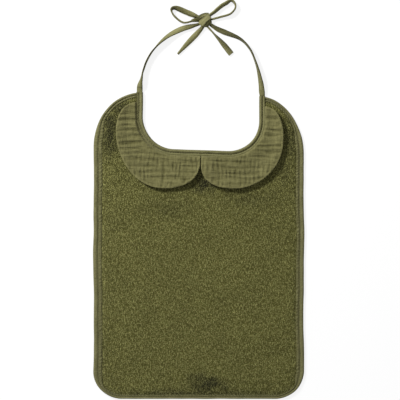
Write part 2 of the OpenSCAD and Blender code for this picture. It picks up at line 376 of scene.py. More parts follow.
def evenly(points, step):
    """The same line with points at equal steps along it, and the distance of each from its start"""
    gap = np.linalg.norm(np.diff(points, axis=0), axis=1)
    run = np.concatenate([[0], np.cumsum(gap)])
    keep = np.concatenate([[True], gap > 1e-9])
    points, run = points[keep], run[keep]
    at = np.linspace(0, run[-1], max(2, int(round(run[-1] / step)) + 1))
    return np.column_stack([np.interp(at, run, points[:, k]) for k in range(points.shape[1])]), at


def normals(points, turn):
    """Normals of a line in the plane: turn is 1 for its left side and -1 for its right"""
    tangent = np.gradient(points, axis=0)
    tangent /= np.linalg.norm(tangent, axis=1)[:, None]
    return turn * np.column_stack([-tangent[:, 1], tangent[:, 0]])


def mirrored(half):
    return np.vstack([half * (-1, 1), half[::-1]])


def outer_edge(start_angle=90.0):
    """Outer edge from the left shoulder tip round the hem to the right one"""
    s = sizes()
    neck_x = s.neck_w / 2
    radii = (s.body_w / 2 - neck_x, s.shoulder_h)
    shoulder = arc((neck_x, s.tip_y - s.shoulder_h), radii, start_angle, 0, 60)
    hem = arc((s.body_w / 2 - s.corner_r, -s.tip_y + s.corner_r), (s.corner_r, s.corner_r), 0, -90, 40)
    return mirrored(np.vstack([shoulder, hem]))


def neckline():
    """Neckline from the left shoulder tip, round the front, to the right one"""
    s = sizes()
    neck_x, neck_y = s.neck_w / 2, s.tip_y - s.neck_depth
    r = s.neck_corner_r
    corner = arc((neck_x - r, neck_y + r), (r, r), 0, -90, 50)
    return mirrored(np.vstack([[(neck_x, s.tip_y)], corner]))


def leaf_edge():
    """Outer edge of the right collar leaf, from its top end to the middle front"""
    s = sizes()
    neck_x, neck_y = s.neck_w / 2, s.tip_y - s.neck_depth
    end_x = neck_x + s.binding_w / 2
    side_x = neck_x + s.leaf_reach
    wide_y, low_y, low_x, front_h, front_x = neck_y + 0.016, neck_y - s.leaf_drop, 0.038, 0.028, 0.0005
    full = 2 / 2.3
    top = arc((end_x, wide_y), (side_x - end_x, s.tip_y - s.leaf_top - wide_y), 90, 0, 50, full)
    side = arc((low_x, wide_y), (side_x - low_x, wide_y - low_y), 0, -90, 60)
    front = arc((low_x, low_y + front_h), (low_x - front_x, front_h), -90, -180, 50, full)
    return np.vstack([top, side, front, [(front_x, neck_y - s.binding_w / 2)]])


def distance_to(points, line):
    """Distance of each point from a line of close points"""
    tree = kdtree.KDTree(len(line))
    for i, (x, y) in enumerate(line.tolist()):
        tree.insert((x, y, 0), i)
    tree.balance()
    return np.array([tree.find((x, y, 0))[2] for x, y in points.tolist()])


def inside(points, outline):
    """Whether each point lies inside a closed outline"""
    x, y = points[:, 0], points[:, 1]
    hit = np.zeros(len(points), bool)
    for (ax, ay), (bx, by) in zip(outline, np.roll(outline, -1, axis=0)):
        if ay == by:
            continue
        crosses = (ay > y) != (by > y)
        hit ^= crosses & (x < (bx - ax) * (y - ay) / (by - ay) + ax)
    return hit


def smooth(value):
    value = np.clip(value, 0, 1)
    return value * value * (3 - 2 * value)


def rough(points, scale, seed=0.0):
    """Smooth noise from -1 to 1 at each point; scale is one number or one for each axis"""
    scaled = np.asarray(points, float) * np.asarray(scale, float)
    if scaled.shape[1] == 2:
        scaled = np.column_stack([scaled, np.full(len(scaled), seed)])
    else:
        scaled = scaled + (0, 0, seed)
    return np.array([noise.noise(Vector(p)) for p in scaled.tolist()])


# ---------------------------------------------------------------------------
# Meshes
# ---------------------------------------------------------------------------


def lay(points):
    """How the soft bib lies: the neck sits a little to the right, and its right shoulder a little lower"""
    moved = points.copy()
    up = smooth((points[:, 1] - 0.05) / 0.06)
    in_from_side = 1 - smooth((np.abs(points[:, 0]) - 0.06) / 0.055)
    above = smooth((points[:, 1] - sizes().tip_y) / 0.045)
    moved[:, 0] += 0.0026 * up * in_from_side
    moved[:, 1] -= 0.033 * points[:, 0] * up * (1 - above)
    side = smooth((np.abs(points[:, 0]) - 0.09) / 0.02) * (1 - up)
    wave = np.sin(points[:, 1] * 41 + 1.3 * np.sign(points[:, 0])) + 0.6 * np.sin(points[:, 1] * 97)
    moved[:, 0] += 0.0004 * side * wave
    loop_tip = smooth((points[:, 1] - 0.256) / 0.012) * smooth((points[:, 0] - 0.02) / 0.012)
    moved[:, 1] -= 0.0022 * loop_tip
    return moved


def only(obj):
    """Selects one object and nothing else"""
    bpy.ops.object.select_all(action="DESELECT")
    obj.select_set(True)
    bpy.context.view_layer.objects.active = obj


def new_mesh(name, points, faces):
    mesh = bpy.data.meshes.new(name)
    mesh.from_pydata([tuple(p) for p in points], [], faces)
    obj = bpy.data.objects.new(name, mesh)
    bpy.context.scene.collection.objects.link(obj)
    return obj


def points_of(obj):
    co = np.empty(len(obj.data.vertices) * 3)
    obj.data.vertices.foreach_get("co", co)
    return co.reshape(-1, 3)


def set_points(obj, points):
    obj.data.vertices.foreach_set("co", np.ascontiguousarray(points, float).ravel())
    obj.data.update()


def mark_creases(obj, depths):
    """Stores the painted light of each point, from 0 to 1 as painted shade in creases and recesses, or below
    0 as a painted highlight on a crest or a lit side
    """
    made = obj.data.attributes.new("crease", "FLOAT", "POINT")
    made.data.foreach_set("value", np.ascontiguousarray(depths, float).ravel())


def tidy_mesh(obj, merge=0.00001):
    """Merges doubles and turns the faces outwards"""
    only(obj)
    bpy.ops.object.mode_set(mode="EDIT")
    bpy.ops.mesh.select_all(action="SELECT")
    bpy.ops.mesh.remove_doubles(threshold=merge)
    bpy.ops.mesh.normals_make_consistent(inside=False)
    bpy.ops.object.mode_set(mode="OBJECT")


def dress(obj, cloth, body, slot, *nodes, angle=50):
    """Lays a finished mesh as the bib lies, gives it its material and its body when one is named, and hides
    the CAD nodes it stands for. The slot argument is not used.
    """
    set_points(obj, lay(points_of(obj)))
    only(obj)
    bpy.ops.object.shade_smooth_by_angle(angle=math.radians(angle))
    obj.data.materials.clear()
    obj.data.materials.append(material(cloth))
    if nodes:
        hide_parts(*nodes)
    if isinstance(body, str):
        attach(obj, body)
    return obj


def sweep(name, rows, closed_rows=False, caps=True, uv=None):
    """A skin over rings of points. rows is an array [ring, corner, xyz]; uv is [ring, corner, 2]."""
    count, corners = rows.shape[:2]
    faces = []
    for i in range(count if closed_rows else count - 1):
        a, b = i * corners, (i + 1) % count * corners
        for j in range(corners):
            k = (j + 1) % corners
            faces.append((a + j, a + k, b + k, b + j))
    if caps and not closed_rows:
        faces.append(tuple(range(corners - 1, -1, -1)))
        faces.append(tuple(range((count - 1) * corners, count * corners)))
    obj = new_mesh(name, rows.reshape(-1, 3), faces)
    if uv is not None:
        layer = obj.data.uv_layers.new(name="tape")
        flat = uv.reshape(-1, 2)
        index = np.empty(len(obj.data.loops), int)
        obj.data.loops.foreach_get("vertex_index", index)
        layer.data.foreach_set("uv", flat[index].ravel())
    return obj


def tape_uv(run, around):
    """A tape's UV map in metres: the distance along it, and the distance round its section"""
    return np.dstack(np.meshgrid(run, around, indexing="ij"))


def panel_grid(name, step):
    """A flat grid over the body, cut to the cloth's outline under the bindings"""
    s = sizes()
    width, height = s.body_w, 2 * s.tip_y
    bpy.ops.object.select_all(action="DESELECT")
    bpy.ops.mesh.primitive_grid_add(
        x_subdivisions=int(width / step), y_subdivisions=int(height / step), size=1, scale=(1, 1, 1)
    )
    obj = bpy.context.object
    obj.name = name
    points = points_of(obj) * (width, height, 1)
    set_points(obj, points)
    depth = cloth_depth(points[:, :2])
    keep = depth > s.binding_w * 0.45
    corners = np.empty(len(obj.data.loops), int)
    obj.data.loops.foreach_get("vertex_index", corners)
    drop = ~keep[corners].reshape(-1, 4).all(axis=1)
    obj.data.polygons.foreach_set("select", drop)
    bpy.ops.object.mode_set(mode="EDIT")
    bpy.ops.mesh.select_mode(type="FACE")
    bpy.ops.object.mode_set(mode="OBJECT")
    obj.data.polygons.foreach_set("select", drop)
    bpy.ops.object.mode_set(mode="EDIT")
    bpy.ops.mesh.delete(type="FACE")
    bpy.ops.object.mode_set(mode="OBJECT")
    return obj


def cloth_depth(points):
    """Distance of each point in from the nearest edge of the cloth, negative outside it"""
    outer, _ = evenly(outer_edge(), 0.0005)
    neck, _ = evenly(neckline(), 0.0005)
    outline = np.vstack([outer, neck[::-1]])[::5]
    depth = np.minimum(distance_to(points, outer), distance_to(points, neck))
    return np.where(inside(points, outline), depth, -depth)


def give_thickness(obj, thickness):
    """Pulls a flat sheet down into a closed slab, whose top keeps the sheet's points"""
    only(obj)
    bpy.ops.object.mode_set(mode="EDIT")
    bpy.ops.mesh.select_all(action="SELECT")
    bpy.ops.mesh.extrude_region_move(TRANSFORM_OT_translate={"value": (0, 0, -thickness)})
    bpy.ops.mesh.select_all(action="SELECT")
    bpy.ops.mesh.normals_make_consistent(inside=False)
    bpy.ops.object.mode_set(mode="OBJECT")


# ---------------------------------------------------------------------------
# Panels
# ---------------------------------------------------------------------------


def make_terry():
    """Terry panel: a slab whose top is raised into loops, pressed down where the bindings hold it"""
    s = sizes()
    obj = panel_grid("terry_panel", 0.001)
    points = points_of(obj)
    flat = points[:, :2]
    depth = cloth_depth(flat)
    edge = s.binding_w * (pulled(flat, SHOWN_WIDER) - 0.14)
    held = smooth((depth - edge) / 0.002)
    full = smooth((depth - edge - 0.0007) / 0.004)
    loops = rough(flat, 640, 3.0) + 0.6 * rough(flat, (640, 190), 8.0)
    dents = rough(flat, 22, 5.0)
    points[:, 2] = 0.0019 + 0.0004 * held + 0.0010 * full + full * (0.0006 * loops + 0.0004 * dents)
    set_points(obj, points)
    close_under(obj, TERRY_LO.z + 0.0001)
    dress(obj, "terry", "bib", "terry", "terry_front", angle=180)


def close_under(obj, z):
    """Closes an upward-facing sheet with a plain underside at a height"""
    only(obj)
    bpy.ops.object.mode_set(mode="EDIT")
    bpy.ops.mesh.select_mode(type="EDGE")
    bpy.ops.mesh.select_all(action="DESELECT")
    bpy.ops.mesh.select_non_manifold()
    bpy.ops.mesh.extrude_region_move(TRANSFORM_OT_translate={"value": (0, 0, -0.001)})
    bpy.ops.transform.resize(value=(1, 1, 0), center_override=(0, 0, z))
    bpy.ops.mesh.edge_face_add()
    bpy.ops.mesh.select_all(action="SELECT")
    bpy.ops.mesh.normals_make_consistent(inside=False)
    bpy.ops.object.mode_set(mode="OBJECT")


def make_backing():
    """Backing cloth: a thin closed sheet with the faint crinkle of gauze on its outer face"""
    obj = panel_grid("backing_panel", 0.002)
    points = points_of(obj)
    flat = points[:, :2]
    crease = crinkle(flat, 4.0, 0.2) * smooth(cloth_depth(flat) / 0.01)
    points[:, 2] = BACK_HI.z + 0.0001
    set_points(obj, points)
    give_thickness(obj, 0.0008)
    both = points_of(obj)
    half = len(points)
    top_first = np.allclose(both[:half, 2], BACK_HI.z + 0.0001)
    under = both[half:] if top_first else both[:half]
    under[:, 2] += 0.0003 * crease
    set_points(obj, both)
    # Half the crinkle depth is stored as painted shade in the valleys of the back
    mark_creases(obj, np.concatenate([crease, crease]) * 0.5)
    dress(obj, "backing", "bib", "backing", "gauze_back", angle=180)


def lines(across, along, pitch, wander, seed, fullness, broken=45):
    """Soft valleys side by side, from 0 to 1, that wander and fade along their length"""
    flat = np.column_stack([across, along])
    phase = across / pitch + wander * rough(flat, (70, 40), seed)
    shown = smooth(fullness + 1.3 * rough(flat, (0.7 / pitch, broken), seed + 2))
    sharp = 0.6 + 0.4 * rough(flat, (0.7 / pitch, 45), seed + 5)
    valley = (0.5 + 0.5 * np.cos(2 * np.pi * phase)) ** (0.9 + sharp)
    return valley * shown


def crinkle(flat, seed, upper):
    """Crinkles of gauze as depths from 0 to 1: level ones, and in the lower part upright ones too"""
    x, y = flat[:, 0], flat[:, 1]
    level = lines(y, x, 0.0062, 0.45, seed, 0.7, 60) * (0.6 + 0.24 * upper)
    small = lines(y, x, 0.0036, 0.5, seed + 10, 0.35) * 0.3
    upright = lines(x, y, 0.005, 0.7, seed + 20, 0.55, 120) * (0.55 - 0.48 * upper)
    return np.clip(level + small + upright, 0, 1.05)


# ---------------------------------------------------------------------------
# Bindings and their stitches
# ---------------------------------------------------------------------------

# The folded tape's section, from its under lip round the fold to its upper lip and back inside it:
# distance in from the edge as a share of the width, and height as a share of the thickness
FOLD = np.array([
    (1.0, 0.09), (0.96, 0.01), (0.8, 0.0), (0.68, 0.04), (0.57, 0.15), (0.46, 0.04), (0.3, 0.0),
    (0.18, 0.01), (0.09, 0.07), (0.03, 0.2), (0.005, 0.36), (0.0, 0.52), (0.01, 0.7), (0.045, 0.88),
    (0.11, 1.02), (0.2, 1.1), (0.3, 1.11), (0.4, 1.04), (0.48, 0.9), (0.535, 0.78), (0.57, 0.74),
    (0.605, 0.78), (0.66, 0.92), (0.75, 1.0), (0.85, 1.03), (0.93, 1.0), (0.98, 0.92), (1.0, 0.8),
    (0.97, 0.72), (0.7, 0.68), (0.3, 0.68), (0.14, 0.62), (0.12, 0.5), (0.14, 0.34), (0.3, 0.25),
    (0.7, 0.25), (0.97, 0.2),
])
FOLD_TOP = slice(14, 28)
FREE_EDGE = slice(24, 30)
MOUTH = slice(27, 30)
UNDER_GROOVE = slice(3, 6)

# The outer binding lies a little wider than its folded width
SHOWN_WIDER = 0.2


def pulled(points, wide):
    """How much wider the binding shows than its width: more at the left, less below and at the shoulders"""
    left = 0.6 * smooth(-points[:, 0] / 0.1)
    below = smooth((-points[:, 1] - 0.143) / 0.016)
    shoulders = 0.9 * smooth((points[:, 1] - 0.118) / 0.022)
    tight = np.maximum(below, shoulders)
    return 1 + wide * (1 + left) * (1 - tight) - 0.34 * tight * (wide > 0)


def make_binding(name, line, turn, height, node, ribs, wide=0.0):
    """A folded tape along a line, puffed between its stitches, with a line of stitches on each face"""
    s = sizes()
    middle, run = evenly(line, 0.0009)
    inward = normals(middle, turn)
    n, m = len(middle), len(FOLD)
    across = np.tile(FOLD[:, 0] * s.binding_w, (n, 1))
    z = np.tile(FOLD[:, 1] * height, (n, 1))
    line3 = np.column_stack([run, np.zeros(n)])
    wander = 0.00025 * rough(line3, 55, len(name))
    puff = 1 + 0.10 * rough(line3, 140, len(name) + 3.0)
    stitch = np.cos(2 * np.pi * run / s.stitch_pitch)
    top = FOLD[FOLD_TOP, 0]
    near_groove = np.exp(-(((top * s.binding_w - s.stitch_in) / (0.001 - 0.0003 * ribs)) ** 2))
    lip = smooth((top - 0.6) / 0.15)
    rim = 1 - smooth((top - 0.35) / 0.15)
    lean = run[:, None] / 0.0037 + top[None, :] * 1.2 + 0.7 * rough(line3, 90, 9.0)[:, None]
    rib = np.cos(2 * np.pi * lean) * (0.6 + 0.8 * rough(line3, 60, 13.0))[:, None]
    z[:, FOLD_TOP] *= 1 + (puff[:, None] - 1) * rim[None, :]
    z[:, FOLD_TOP] -= 0.00018 * (0.5 + 0.5 * stitch)[:, None] * near_groove[None, :]
    z[:, FOLD_TOP] += ribs * (0.0003 * lip + 0.00008 * rim)[None, :] * rib
    across[:, FREE_EDGE] += (0.0004 * rough(line3, 120, 21.0) + ribs * 0.0002 * rib[:, -1])[:, None]
    # Painted light on the binding: painted shade in the stitch groove, the fold's mouth and the under groove,
    # painted light and shade following the ribs, a darker lip, a painted highlight on the neck binding's
    # ridge and painted shade towards its inner edge
    crease = np.zeros((n, m))
    crease[:, FOLD_TOP] = (0.2 + 0.12 * ribs) * near_groove - ribs * (0.34 * lip + 0.1 * rim) * rib
    ridge_highlight = np.exp(-(((top - 0.7) / 0.05) ** 2))
    crease[:, FOLD_TOP] += ribs * (0.14 * lip + 0.04) - (1 - ribs) * 0.5 * ridge_highlight
    crease[:, FOLD_TOP] += (1 - ribs) * 0.6 * smooth((top - 0.8) / 0.1)
    crease[:, MOUTH] = 0.35
    crease[:, UNDER_GROOVE] = 0.3
    shown = pulled(middle, wide)
    across = across * shown[:, None] + wander[:, None]
    rows = np.empty((n, m, 3))
    rows[:, :, :2] = middle[:, None, :] + across[:, :, None] * inward[:, None, :]
    rows[:, :, 2] = z
    obj = sweep(name, rows, uv=tape_uv(run, distances(FOLD * (s.binding_w, height))))
    mark_creases(obj, crease)
    tidy_mesh(obj, 0.000001)
    dress(obj, "tape", "bib", "tape", node, angle=60)
    centre = middle + inward * (s.stitch_in * shown + wander)[:, None]
    make_stitches(name + "_stitches", centre, run, height * 0.755, "bib")
    make_stitches(name + "_back_stitches", centre, run, height * 0.14, "bib", under=True)
    return obj


def make_stitches(name, centre, run, z, body, under=False):
    """A row of short threads sunk in a groove, each a thin lozenge with six sides"""
    s = sizes()
    radius, half = 0.00022, s.stitch_pitch * 0.40
    count = int((run[-1] - 0.004) / s.stitch_pitch)
    sides = 6
    ring = [(math.cos(a), math.sin(a)) for a in np.linspace(0, 2 * math.pi, sides, endpoint=False)]
    shape = [(-1.0, 0.0), (-0.8, 0.75), (0.0, 1.0), (0.8, 0.75), (1.0, 0.0)]
    points, faces = [], []
    sign = -1 if under else 1
    for k in range(count):
        at = 0.002 + (k + 0.5) * s.stitch_pitch
        x, y = (np.interp(at, run, centre[:, i]) for i in (0, 1))
        ahead = [np.interp(at + 0.0005, run, centre[:, i]) for i in (0, 1)]
        along = np.array([ahead[0] - x, ahead[1] - y])
        along /= np.linalg.norm(along)
        side = np.array([-along[1], along[0]])
        base = len(points)
        for run_at, fat in shape:
            for c, d in ring:
                flat = np.array([x, y]) + along * run_at * half + side * c * radius * max(fat, 0.05)
                sink = -0.00016 * run_at**2
                points.append((*flat, z + sign * (0.00006 + sink + d * radius * max(fat, 0.05))))
        for r in range(len(shape) - 1):
            for j in range(sides):
                a, b = base + r * sides + j, base + r * sides + (j + 1) % sides
                faces.append((a, b, b + sides, a + sides))
        last = base + (len(shape) - 1) * sides
        faces.append(tuple(base + j for j in range(sides - 1, -1, -1)))
        faces.append(tuple(last + j for j in range(sides)))
    obj = new_mesh(name, points, faces)
    tidy_mesh(obj, 0.0000001)
    return dress(obj, "thread", body, "tape", angle=180)


# ---------------------------------------------------------------------------
# Collar
# ---------------------------------------------------------------------------


def make_leaf(side):
    """A collar leaf: two plies turned out into one soft rounded edge, crinkled, sewn under the binding"""
    s = sizes()
    name = "right" if side > 0 else "left"
    steps_along, steps_across = 300, 72
    edge, edge_run = evenly(leaf_edge(), 0.0002)
    neck, _ = evenly(neckline(), 0.0005)
    inner = neck + normals(neck, -1) * s.binding_w * 0.74
    from_tip = (inner[:, 0] > 0.0005) & (inner[:, 1] < s.tip_y - s.leaf_top)
    inner = inner[from_tip][::-1]
    inner, inner_run = evenly(inner, 0.0002)
    share = np.linspace(0, 1, steps_along)
    outer_at = np.column_stack([np.interp(share * edge_run[-1], edge_run, edge[:, k]) for k in (0, 1)])
    inner_at = np.column_stack([np.interp(share * inner_run[-1], inner_run, inner[:, k]) for k in (0, 1)])
    reach = np.sin(np.linspace(0, math.pi / 2, steps_across))[None, :, None]
    flat = (inner_at[:, None, :] * (1 - reach) + outer_at[:, None, :] * reach).reshape(-1, 2)
    from_edge = distance_to(flat, edge[::4])
    from_neck = distance_to(flat, neck)
    laid = flat * (side, 1)
    tucked = smooth((from_neck - s.binding_w * 0.85) / 0.0025)
    half = 0.00095 * np.sqrt(1 - (1 - np.clip(from_edge / 0.0016, 0, 1)) ** 2)
    pillow = 0.0007 * smooth(from_edge / 0.008) * tucked
    half = half * (0.25 + 0.75 * tucked)
    middle = 0.003 * (1 - tucked) + (UNDER_HI.z + 0.0002) * tucked
    curl = 0.0031 * (1 - smooth(from_edge / 0.014)) * smooth((from_neck - 0.012) / 0.01)
    upper = smooth((flat[:, 1] - 0.085) / 0.025)
    depth = crinkle(laid, 10.0 + 3 * side, upper) * smooth(from_edge / 0.003) * tucked
    wave = 0.0005 * rough(laid, (70, 150), 40.0 + side) * tucked - 0.0013 * (depth - 0.3)
    edge_wave = 0.0003 * rough(laid, 90, 31.0) * (1 - smooth(from_edge / 0.004)) * tucked
    rise = curl + edge_wave
    up = np.column_stack([laid, middle + half + pillow + wave + rise])
    down = np.column_stack([laid, middle - half * 0.9 + 0.3 * wave + rise])
    shape = (steps_along, steps_across)
    # Painted shade in the crinkle valleys and a painted highlight on the crests, lighter along the rounded
    # edge
    crease = (0.44 * (depth - 0.4) - 0.1 * (1 - smooth(from_edge / 0.003))).reshape(shape)
    rows = np.concatenate([up.reshape(*shape, 3), down.reshape(*shape, 3)[:, ::-1]], axis=1)
    obj = sweep(f"{name}_collar_leaf", rows)
    mark_creases(obj, np.concatenate([crease, crease[:, ::-1]], axis=1))
    tidy_mesh(obj, 0.00002)
    nodes = [f"{name}_collar_{part}" for part in ("upper", "under", "stand")]
    dress(obj, "gauze", None, "gauze", *nodes, angle=180)
    joint = JOINTS[f"{name}_collar_fold"]
    hinge, axis = np.array(joint["pos_m"]), np.array(joint["axis"])
    outward = np.cross(axis, (0, 0, 1)) * -1
    outward /= np.linalg.norm(outward)
    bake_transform(obj)
    return obj


# ---------------------------------------------------------------------------
# Ties and bow
# ---------------------------------------------------------------------------

# The tapes' routes, in millimetres: x, y, roll, width share and lift. The roll is 0 where the tape
# lies flat and 90 where it stands on its edge. Ties count from the shoulder, the rest from the knot.
LEFT_TIE = [
    (0, 0, 0, 1, 1), (0.1, 4, 8, 1, 1), (0.7, 8.5, 52, 1, 0.6), (1.9, 14, 73, 1, 0.2),
    (3.6, 23, 88, 1, 0), (8, 36, 90, 1, 0), (16, 48.5, 85, 1, 0), (30, 61.7, 50, 1, 0),
    (45, 70, 15, 1, 0), (58, 73.6, 30, 0.8, 0), (65.9, 75.8, 75, 0.6, 0),
]
RIGHT_TIE = [
    (0, 0, 0, 1, 1), (-0.6, 5, 10, 1, 0.8), (-1.5, 12, 42, 1, 0.4), (-4.2, 24.5, 73, 1, 0),
    (-7.6, 35, 88, 1, 0), (-13.5, 48, 88, 1, 0), (-24, 59, 80, 1, 0), (-41, 66.5, 40, 1, 0),
    (-50.5, 71, 30, 0.8, 0), (-58.2, 76.1, 75, 0.6, 0),
]
LEFT_LOOP = [
    (-3.9, 2.3, 75, 0.45, 1), (-11, 5.8, 20, 0.8, 1), (-22, 10.5, 10, 0.95, 0.8),
    (-33, 14.7, 50, 0.9, 0.3), (-37.5, 12.5, 90, 0.8, 0), (-34, 5.5, 90, 0.8, 0),
    (-24.5, -1.2, 90, 0.7, 0), (-14, 0.3, 70, 0.7, 0), (-5.2, 0.2, 70, 0.6, 0),
]
RIGHT_LOOP = [
    (4.3, 6.4, 60, 0.5, 1), (10.4, 11, 50, 0.75, 1), (21, 20, 58, 0.8, 0.5),
    (27.5, 25, 75, 0.8, 0.2), (32, 21.5, 90, 0.8, 0), (32.2, 15, 90, 0.8, 0), (27, 8.3, 90, 0.8, 0),
    (15, 4.6, 90, 0.6, 0), (5.6, 2, 90, 0.5, 0),
]
LEFT_END = [
    (-3.8, -6.6, 20, 0.6, 0.6), (-9.4, -13, 5, 0.95, 0.3), (-20, -24, 0, 0.85, 0),
    (-30.5, -35.5, 0, 0.3, 0),
]
RIGHT_END = [
    (1.5, -5, 85, 0.5, 0), (9, -13.5, 80, 0.8, 0), (19, -24.5, 30, 1, 0), (28, -35.5, 0, 1, 0),
]
KNOT = (5.0, 246.1)
UNDER_KNOT = [(-1.5, -0.5, 60, 0.5, 1.0), (1.5, 0.5, 60, 0.5, 1.0)]
OVER_KNOT = [(0, 0, 30, 0.5, 1.0)]
KNOT_FOLD = [
    (-7.5, 3.6, 40, 0.7, 1), (-4, 5.9, 25, 0.85, 1.4), (0, 7.2, 25, 0.8, 1.6), (3.5, 7.2, 40, 0.6, 1),
]
KNOT_TUCK = [(-15.5, 0.6, 70, 0.4, 0), (-10, 2.2, 35, 0.8, 0.6), (-4, 1.8, 35, 0.8, 1)]

# Painted light on stretches of tape, painted shade where the amount is above 0 and a painted highlight below
# 0: x, y, radius in millimetres and amount
PAINTED_TAPE_LIGHT = [
    (18, 260, 12, -0.6), (-9, 243, 6, 0.35), (-4, 248, 6, 0.3), (20, 240, 9, 0.2), (-30, 238, 12, -0.3),
    (-5, 231, 9, -0.15), (-25, 256, 9, 0.15),
]

# The folded tie's section: across the tape as a share of its width, and through it as a share of
# its thickness, with a stitched groove near one edge and the mouth of the fold at the other
TIE_FOLD = np.array([
    (-0.5, 0.0), (-0.49, 0.3), (-0.46, 0.46), (-0.4, 0.46), (-0.33, 0.36), (-0.27, 0.46), (-0.1, 0.52),
    (0.1, 0.54), (0.3, 0.5), (0.42, 0.44), (0.48, 0.28), (0.49, 0.1), (0.44, 0.0), (0.49, -0.1),
    (0.48, -0.28), (0.42, -0.44), (0.3, -0.5), (0.1, -0.53), (-0.1, -0.52), (-0.27, -0.46),
    (-0.33, -0.38), (-0.4, -0.46), (-0.46, -0.46), (-0.49, -0.3),
])
TIE_GROOVE = -0.33
TIE_GROOVE_W = 0.06
TIE_STITCH = 0.0024
TIE_STEP = 0.0007


def from_point(route, origin):
    """A route's points moved to their origin, with x and y in the bib's frame"""
    return [(x + origin[0], y + origin[1], *rest) for x, y, *rest in route]


def spline(points, steps):
    """A smooth curve through points, with the same number of steps between each two"""
    points = np.array(points, float)
    last = len(points) - 1
    t = np.linspace(0, last, last * steps + 1)
    k = np.minimum(t.astype(int), last - 1)
    u = (t - k)[:, None]
    a, b, c, d = (points[np.clip(k + i, 0, last)] for i in (-1, 0, 1, 2))
    return 0.5 * (
        2 * b + (c - a) * u + (2 * a - 5 * b + 4 * c - d) * u**2 + (3 * b - a - 3 * c + d) * u**3
    )


def tape_along(name, route, seed):
    """A folded tape along a route. Gives the object and its middle line in metres."""
    s = sizes()
    thick = s.tie_t
    curve = spline(route, 14)
    roll = np.radians(curve[:, 2])
    share = np.clip(curve[:, 3], 0.2, 1)
    width = share * s.tie_w
    rest = np.abs(np.sin(roll)) * width / 2 + np.cos(roll) * thick / 2
    middle = np.column_stack([curve[:, 0] * MM, curve[:, 1] * MM, rest])
    middle[:, 2] += np.where(curve[:, 4] <= 1, curve[:, 4] * (SWING_Z - thick / 2), curve[:, 4] * MM * 0.5)
    middle, run, roll, width, share = respaced(middle, roll, width, share)
    roll, width = eased(roll, 9), eased(width, 9)
    tangent = np.gradient(middle, axis=0)
    tangent /= np.linalg.norm(tangent, axis=1)[:, None]
    up = np.array([0, 0, 1.0])
    sideways = np.cross(tangent, up)
    sideways /= np.linalg.norm(sideways, axis=1)[:, None]
    across = np.cos(roll)[:, None] * sideways + np.sin(roll)[:, None] * up
    through = np.cos(roll)[:, None] * up - np.sin(roll)[:, None] * sideways
    bunch = 1 + 0.5 * (1 - share)
    line3 = np.column_stack([run, np.zeros(len(run))])
    uneven = 1.08 + 0.07 * rough(line3, 160, seed)
    cup = 0.12 * np.sin(run / 0.011 + seed)
    n, m = len(middle), len(TIE_FOLD)
    rows = np.empty((n, m, 3))
    for j, (a, b) in enumerate(TIE_FOLD):
        stitched = 0.16 * math.exp(-(((a - TIE_GROOVE) / TIE_GROOVE_W) ** 2))
        pinch = 1 - stitched * (0.5 + 0.5 * np.cos(2 * np.pi * run / TIE_STITCH))
        bow = cup * (a * a - 0.08) * width / thick
        rows[:, j] = (
            middle
            + across * (a * width * uneven)[:, None]
            + through * ((b * pinch * bunch + bow) * thick)[:, None]
        )
    obj = sweep(name, rows, uv=tape_uv(run, distances(TIE_FOLD * (s.tie_w, thick))))
    near_knot = np.linalg.norm(middle[:, :2] - np.array(KNOT) * MM, axis=1)
    # Painted shade in the stitched groove and in the mouth of the fold
    groove = np.exp(-(((TIE_FOLD[:, 0] - TIE_GROOVE) / TIE_GROOVE_W) ** 2))
    groove += 0.8 * (np.abs(TIE_FOLD[:, 0] - 0.46) < 0.03)
    # Painted shade on the tape near the knot
    painted_knot_shade = 0.35 * (1 - smooth((near_knot - 0.004) / 0.008))
    past_knot = np.arange(len(middle)) >= np.argmax(near_knot < 0.006)
    # Painted light across the tape: one edge lighter and the other darker, the other way round past the knot
    edges = np.where(past_knot, -0.55, 0.55)[:, None] * TIE_FOLD[:, 0]
    # Painted shade and painted highlights on the listed stretches
    turned = np.zeros(len(middle))
    for x, y, radius, tone in PAINTED_TAPE_LIGHT:
        gap = np.linalg.norm(middle[:, :2] / MM - (x, y), axis=1)
        turned += tone * np.exp(-((gap / radius) ** 2))
    mark_creases(obj, 0.3 * groove + edges + (painted_knot_shade + turned)[:, None])
    tidy_mesh(obj, 0.000001)
    return obj, middle


def eased(values, reach):
    """A running mean over a few neighbours, with the ends held"""
    padded = np.pad(values, reach, mode="edge")
    return np.convolve(padded, np.ones(2 * reach + 1) / (2 * reach + 1), mode="valid")


def respaced(middle, *values):
    """The same curve and values at equal steps"""
    stacked = np.column_stack([middle, *values])
    run = distances(middle)
    at = np.linspace(0, run[-1], int(run[-1] / TIE_STEP))
    even = [np.interp(at, run, stacked[:, k]) for k in range(stacked.shape[1])]
    return (np.column_stack(even[:3]), at, *even[3:])


def make_tie(side):
    """One tie: from its shoulder through the knot, round its bow loop and out to its cut end"""
    s = sizes()
    start = (side * (s.neck_w + s.binding_w) / 2 / MM, SWING_Y / MM)
    inside_binding = [(0, -5, 0, 0.85, 1), (0, -2.5, 0, 0.92, 1)]
    if side < 0:
        tie, loop, end = LEFT_TIE, RIGHT_LOOP[::-1], LEFT_END
        crossing, nodes = OVER_KNOT, ("left_tie", "right_bow_loop", "left_tie_end")
    else:
        tie, loop, end = RIGHT_TIE, LEFT_LOOP, RIGHT_END
        crossing, nodes = UNDER_KNOT[:1], ("right_tie", "left_bow_loop", "right_tie_end")
    route = from_point(inside_binding + tie, start) + from_point(UNDER_KNOT[:1] + loop + crossing + end, KNOT)
    name = "left_tape" if side < 0 else "right_tape"
    obj, middle = tape_along(name, route, 3.0 + side)
    dress(obj, "tape", None, "tape", *nodes, angle=60)
    x = start[0] * MM
    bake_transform(obj)
    path = lay(middle)
    path[::3].tolist() + [path[-1].tolist()]
    return obj


